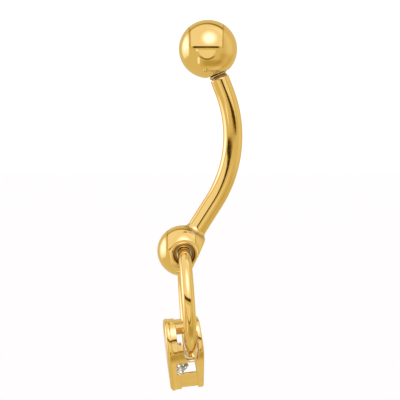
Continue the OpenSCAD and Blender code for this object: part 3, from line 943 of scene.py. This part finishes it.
roof_end = toward + ROOF_SLANT * up - ROOF_ASKEW * right + ROOF_EDGE
window = ball_x.band(WINDOW_LEFT, WINDOW_RIGHT, 0.02) * elevation.step(6.5, 9) * roof_end.step(-0.03, 0.03)
lamp_x, lamp_y = ball_x - LAMP_X, ball_y - LAMP_Y
lamp = 1 - ((LAMP_SQUASH * lamp_x * lamp_x + lamp_y * lamp_y) ** 0.5).step(LAMP_CORE, LAMP_REACH)
strip_across = azimuth.step(-134, -108) * (1 - ball_x.step(-0.70, -0.63))
strip = strip_across * (0.35 * elevation.band(-17, -4, 6) + elevation.band(-4, 30, 10))
side_wall = azimuth.band(78, 112, 14)
right_low = azimuth.band(55, 125, 14) * elevation.band(-52, -14, 8)
gap = azimuth.band(-62, 44, 6) * elevation.band(GAP_BOTTOM, GAP_TOP, 1.2)
roof_seam = roof_end.band(-0.11, 0.07, 0.05) * ball_x.band(-0.64, 0.50, 0.04) * elevation.step(15, 30)
roof_seam = roof_seam * (0.6 + 0.4 * right.step(-0.4, 0.3))
left_edge = ball_x.band(WINDOW_LEFT - 0.042, WINDOW_LEFT - 0.002, 0.02)
right_edge = ball_x.band(WINDOW_RIGHT + 0.003, WINDOW_RIGHT + 0.043, 0.015)
window_edge = (0.8 * left_edge + 0.7 * right_edge) * elevation.band(2, 50, 4)
table_x, table_y = (ball_x - TABLE_X) / TABLE_HALF_WIDTH, (ball_y - TABLE_Y) / TABLE_DEPTH
table = (table_x * table_x + table_y * table_y) ** 0.5
table_near = (1 - table.step(0.94, 1.0)) * (1 - elevation.step(-7, -4))
table_line = table.band(1.0, 1.16, 0.03) * (1 - ball_y.step(-0.30, -0.22))
table_low = ball_x.band(-0.20, 0.42, 0.16) * ball_y.band(-0.60, -0.40, 0.06)
glints = ball_x.band(-0.40, -0.35, 0.02) * ball_y.band(-0.09, -0.03, 0.02)
glints = glints + ball_x.band(-0.35, -0.30, 0.02) * ball_y.band(-0.50, -0.31, 0.05)
print("nodes with the tent's parts", len(tent.nodes))

# %% [markdown]
# ## Brightness and tint of the tent
# Lights add to the tent's level, and the gap, the seams and the table's edge take a share of it away. The dim
# parts are lit by light that has already left the gold, so they are warmer, and the lamps burn bluer than the
# rest, as a film exposed for the gold shows them. Places on the ramp are the level as a share of BRIGHTEST.
# Gold seen in gold is tinted twice and would look orange, but the photograph shows brown there, so rays that
# have bounced twice see a greener tent, and those that have bounced more often a greener and bluer one. Ray
# Depth is already 2 after one bounce. A ray from the camera itself or from the floor sees plain white, as the
# photograph's background is, and a ray through the stone sees no tint.

# %% World as a light tent
BRIGHTEST = 2.5
BACKDROP_STRENGTH = 1.12
TWO_BOUNCES, THREE_BOUNCES = 2.5, 3.5
TENT_LEVEL = 0.70
WINDOW_LIGHT, WALL_LIGHT, TABLE_LIGHT = 0.22, 0.10, 0.19
LAMP_LIGHT, STRIP_LIGHT, GLINT_LIGHT = 2.2, 1.9, 0.9
WALL_SHADE, TABLE_SHADE = 0.14, 0.21
GAP_DARK, TABLE_DARK, SEAM_DARK, EDGE_DARK = 0.94, 0.6, 0.65, 0.35
SECOND_BOUNCE_TINT = (0.82, 1.0, 1.7, 1)
LATER_BOUNCE_TINT = (0.72, 1.0, 1.6, 1)
TENT_TINTS = [
    (0.0, (1.0, 0.55, 0.15, 1)), (0.12, (1.0, 0.74, 0.22, 1)), (0.25, (1.0, 0.87, 0.46, 1)),
    (0.34, (1.0, 0.95, 0.78, 1)), (0.38, (1.0, 0.99, 0.98, 1)), (0.55, (0.95, 0.82, 1.0, 1)),
    (0.9, (0.84, 0.64, 1.0, 1)),
]

level = TENT_LEVEL + WINDOW_LIGHT * window + WALL_LIGHT * side_wall - WALL_SHADE * right_low
level = level + TABLE_LIGHT * table_near - TABLE_SHADE * table_low
level = level + LAMP_LIGHT * lamp * window + STRIP_LIGHT * strip + GLINT_LIGHT * glints
level = level * (1 - GAP_DARK * gap) * (1 - TABLE_DARK * table_line)
level = level * (1 - SEAM_DARK * roof_seam) * (1 - EDGE_DARK * window_edge)
tint = start.node("ShaderNodeValToRGB", {"stops": TENT_TINTS}, {"Fac": level / BRIGHTEST})
depth = start.node("ShaderNodeLightPath", out="Ray Depth")
tint = blend_colours(depth.maths("GREATER_THAN", TWO_BOUNCES), tint, SECOND_BOUNCE_TINT)
tint = blend_colours(depth.maths("GREATER_THAN", THREE_BOUNCES), tint, LATER_BOUNCE_TINT)
tint = blend_colours(start.node("ShaderNodeLightPath", out="Is Transmission Ray"), tint, WHITE)
tent_light = start.node("ShaderNodeBackground", {}, {"Color": tint, "Strength": level})
backdrop = start.node("ShaderNodeBackground", {}, {"Color": WHITE, "Strength": BACKDROP_STRENGTH})
seen_directly = start.node("ShaderNodeLightPath", out="Is Camera Ray")
on_floor = start.node("ShaderNodeLightPath", out="Is Diffuse Ray")
plain = seen_directly.maths("MAXIMUM", on_floor)
both = start.node("ShaderNodeMixShader", {}, {0: plain, 1: tent_light, 2: backdrop})
tent.links.new(both.socket, tent.nodes.new("ShaderNodeOutputWorld").inputs["Surface"])
print("tent nodes", len(tent.nodes))

# %% [markdown]
# ## The floor
# The floor is a plain pale sheet, well below the hanging heart. It is a shallow dish rather than a flat
# square, so that it has no hard far edge. It isn't part of the object. The gold
# doesn't mirror it, because the tent already has a table in it.

# %% Floor
FLOOR_Z = -26.0
FLOOR_REACH, FLAT_REACH, DISH_RISE = 900.0, 300.0, 30.0
FLOOR_AROUND = 96

floor_r = np.concatenate([[0.5], np.geomspace(5, FLOOR_REACH, 40)])
floor_turn = np.linspace(0, 2 * np.pi, FLOOR_AROUND, endpoint=False)
rise = DISH_RISE * np.clip((floor_r - FLAT_REACH) / (FLOOR_REACH - FLAT_REACH), 0, 1) ** 2
floor_points = np.stack([
    floor_r[:, None] * np.cos(floor_turn), floor_r[:, None] * np.sin(floor_turn),
    np.repeat((FLOOR_Z + rise)[:, None], FLOOR_AROUND, axis=1),
], axis=-1).reshape(-1, 3)
floor_mesh = bpy.data.meshes.new("pale_floor")
floor_quads = grid_quads(len(floor_r), FLOOR_AROUND, close_columns=True)[:, ::-1]
floor_hub = fan(len(floor_points), np.arange(FLOOR_AROUND))
floor_points = np.concatenate([floor_points, [[0, 0, FLOOR_Z]]]) * MM
floor_mesh.from_pydata(floor_points.tolist(), [], floor_quads.tolist() + floor_hub.tolist())
floor = bpy.data.objects.new("pale_floor", floor_mesh)
bpy.context.collection.objects.link(floor)
floor.visible_glossy = False
floor.visible_transmission = False
print("floor at z in mm", FLOOR_Z, "points", len(floor_mesh.vertices))

# %% Pale paper for the floor
PALE_PAPER = (0.88, 0.905, 0.87, 1)

floor_material, _, paper = new_material("pale_paper")
paper.inputs["Base Color"].default_value = PALE_PAPER
paper.inputs["Roughness"].default_value = 0.9
floor_mesh.materials.append(floor_material)
print("floor material", floor_material.name)

# %% [markdown]
# ## Finish
# Standard view transform keeps the white background white. Light is followed for more bounces than usual,
# between the ring and the setting's walls, and inside the stone.

# %% View transform and bounces
GOLD_BOUNCES, STONE_BOUNCES = 12, 24

bpy.context.scene.view_settings.view_transform = "Standard"
bpy.context.scene.cycles.max_bounces = STONE_BOUNCES
bpy.context.scene.cycles.glossy_bounces = GOLD_BOUNCES
bpy.context.scene.cycles.transmission_bounces = STONE_BOUNCES
